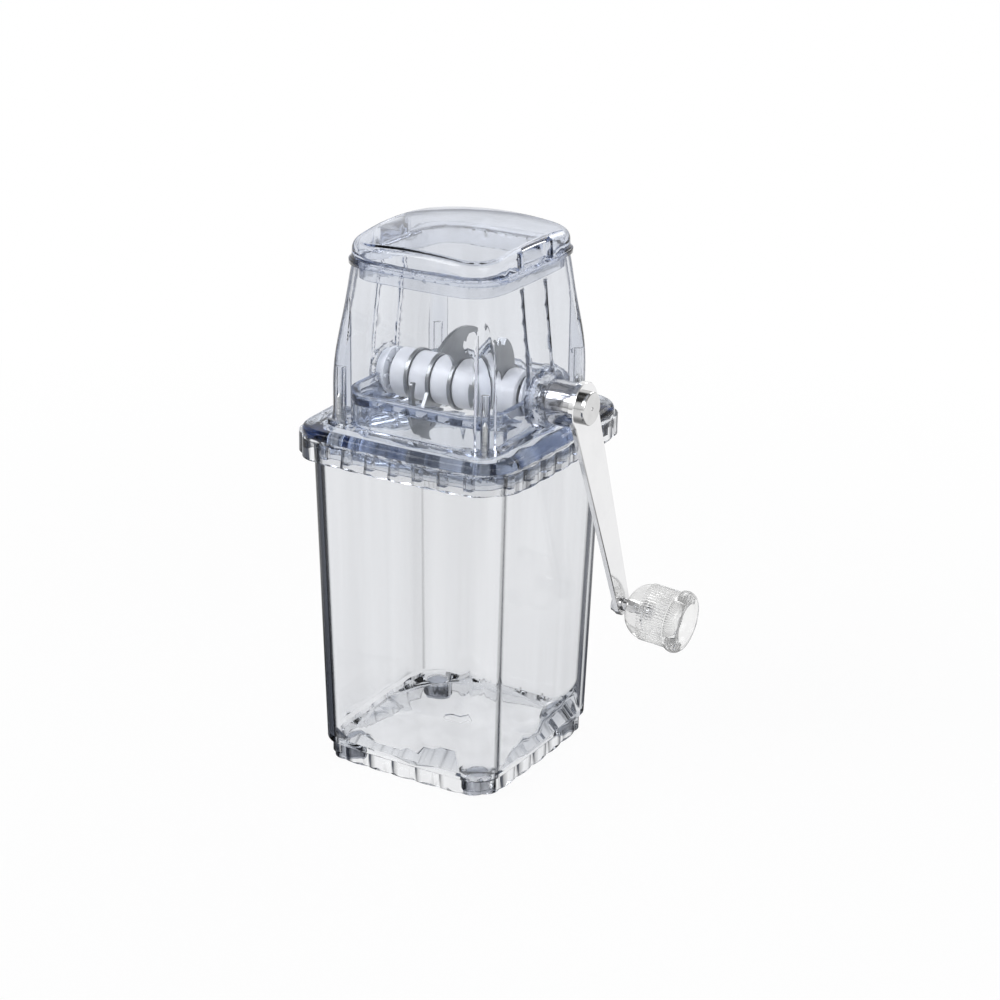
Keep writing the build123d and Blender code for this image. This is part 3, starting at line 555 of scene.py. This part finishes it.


# Studio: a pale floor that mirrored rays see painted dark near the object, an even sky with darker rings overhead and
# low down, and three broad soft lamps.
studio = {
    "floorHalf": 8.0,
    "floorGlow": 0.92,
    "floorColour": (0.80, 0.80, 0.81),
    "ambient": 0.50,
    "cardSide": (0.8637, 0.5041, 0.0),
    "cardEdge": (0.80, 0.93),
    "cardShade": 0.94,
    "mirrorShadeReach": (0.13, 0.24),
    "fade": (0.26, 0.62),
    "lamps": [
        {"name": "keyLamp", "place": (-0.9, -1.1, 1.5), "size": 1.2, "power": 18},
        {"name": "fillLamp", "place": (1.3, -0.7, 0.9), "size": 1.0, "power": 7},
        {"name": "backLamp", "place": (0.1, 1.5, 1.3), "size": 1.3, "power": 11},
    ],
}


def raysOf(tree):
    # Which kind of ray asks: straight from the view, mirrored, through clear plastic, or any of these.
    camera = addNode(tree, "ShaderNodeLightPath", output=0)
    outputs = camera.socket.node.outputs
    glossy = Wire(tree, outputs["Is Glossy Ray"])
    through = Wire(tree, outputs["Is Transmission Ray"])
    seen = addNode(tree, "ShaderNodeClamp", None, {"Value": camera + glossy + through})
    return camera, through, seen


def makeFloor(look):
    half = look["floorHalf"]
    mesh = bpy.data.meshes.new("floor")
    mesh.from_pydata([(-half, -half, 0), (half, -half, 0), (half, half, 0), (-half, half, 0)], [], [(0, 1, 2, 3)])
    floor = bpy.data.objects.new("floor", mesh)
    bpy.context.collection.objects.link(floor)
    material, tree = startMaterial("paleFloor")
    camera, through, seen = raysOf(tree)
    where = addNode(tree, "ShaderNodeTexCoord", output=3)
    away = addNode(tree, "ShaderNodeVectorMath", {"operation": "LENGTH"}, {0: where}, 1)
    # Painted shade: rays mirrored off the metal see the floor dark grey close to the object and white further out, a
    # stand-in for the unlit ground beneath it.
    mirrorShadeNear = spread(tree, away, *look["mirrorShadeReach"])
    far = spread(tree, away, *look["fade"])
    mirrored = blendColours(tree, mirrorShadeNear, grey(0.10), grey(1.0))
    direct = addNode(tree, "ShaderNodeClamp", None, {"Value": camera + through})
    light = blendColours(tree, direct, mirrored, grey(1.0))
    matt = addNode(tree, "ShaderNodeBsdfDiffuse", None, {"Color": (*look["floorColour"], 1)})
    glow = addNode(tree, "ShaderNodeEmission", None, {"Color": light, "Strength": 1.0})
    share = seen * (look["floorGlow"] + (1 - look["floorGlow"]) * far)
    finishMaterial(tree, addNode(tree, "ShaderNodeMixShader", None, {0: share, 1: matt, 2: glow}))
    mesh.materials.append(material)


def makeSky(look):
    world = bpy.data.worlds.new("studioSky")
    world.use_nodes = True
    tree = world.node_tree
    tree.nodes.clear()
    direction = addNode(tree, "ShaderNodeTexCoord", output=0)
    height = addNode(tree, "ShaderNodeSeparateXYZ", None, {0: direction}, 2)
    mirrorStops = [
        (0.50, grey(0.45)),
        (0.56, grey(0.95)),
        (0.70, grey(1.0)),
        (0.80, grey(0.85)),
        (0.86, grey(0.04)),
        (0.94, grey(0.03)),
        (0.97, grey(0.55)),
        (1.0, grey(0.8)),
    ]
    throughStops = [
        (0.50, grey(0.55)),
        (0.56, grey(0.9)),
        (0.72, grey(1.0)),
        (0.84, grey(0.35)),
        (1.0, grey(0.6)),
    ]
    rise = 0.5 * height + 0.5
    mirrored = addNode(tree, "ShaderNodeValToRGB", {"stops": mirrorStops}, {0: rise})
    refracted = addNode(tree, "ShaderNodeValToRGB", {"stops": throughStops}, {0: rise})
    camera, through, seen = raysOf(tree)
    sky = blendColours(tree, through, mirrored, refracted)
    # Two black cards, left and right of the object, draw its clear edges dark.
    aside = addNode(tree, "ShaderNodeVectorMath", {"operation": "DOT_PRODUCT"}, {0: direction, 1: look["cardSide"]}, 1)
    card = spread(tree, addNode(tree, "ShaderNodeMath", {"operation": "ABSOLUTE"}, {0: aside}), *look["cardEdge"])
    sky = blendColours(tree, look["cardShade"] * card, sky, grey(0.0))
    sky = blendColours(tree, camera, sky, grey(1.0))
    colour = blendColours(tree, seen, grey(look["ambient"]), sky)
    background = addNode(tree, "ShaderNodeBackground", None, {"Color": colour, "Strength": 1.0})
    addNode(tree, "ShaderNodeOutputWorld", None, {"Surface": background})
    bpy.context.scene.world = world


def makeLamps(look):
    for one in look["lamps"]:
        data = bpy.data.lights.new(one["name"], "AREA")
        data.shape = "DISK"
        data.size = one["size"]
        data.energy = one["power"]
        lamp = bpy.data.objects.new(one["name"], data)
        place = Vector(one["place"])
        aim = Vector((0, 0, 0.12)) - place
        lamp.matrix_world = Matrix.Translation(place) @ aim.to_track_quat("-Z", "Y").to_matrix().to_4x4()
        bpy.context.collection.objects.link(lamp)


def setView():
    scene = bpy.context.scene
    scene.view_settings.view_transform = "Standard"
    scene.cycles.max_bounces = 28
    scene.cycles.transmission_bounces = 28
    scene.cycles.glossy_bounces = 10
    scene.cycles.transparent_max_bounces = 40


makeCamera(viewpoint)
clearFinishes, metalFinishes = giveMaterials()
print("materials given")
makeClearPieces(clearFinishes)
print("clear pieces made")
makeScrews(metalFinishes)
makeFloor(studio)
makeSky(studio)
makeLamps(studio)
setView()
print("studio ready")
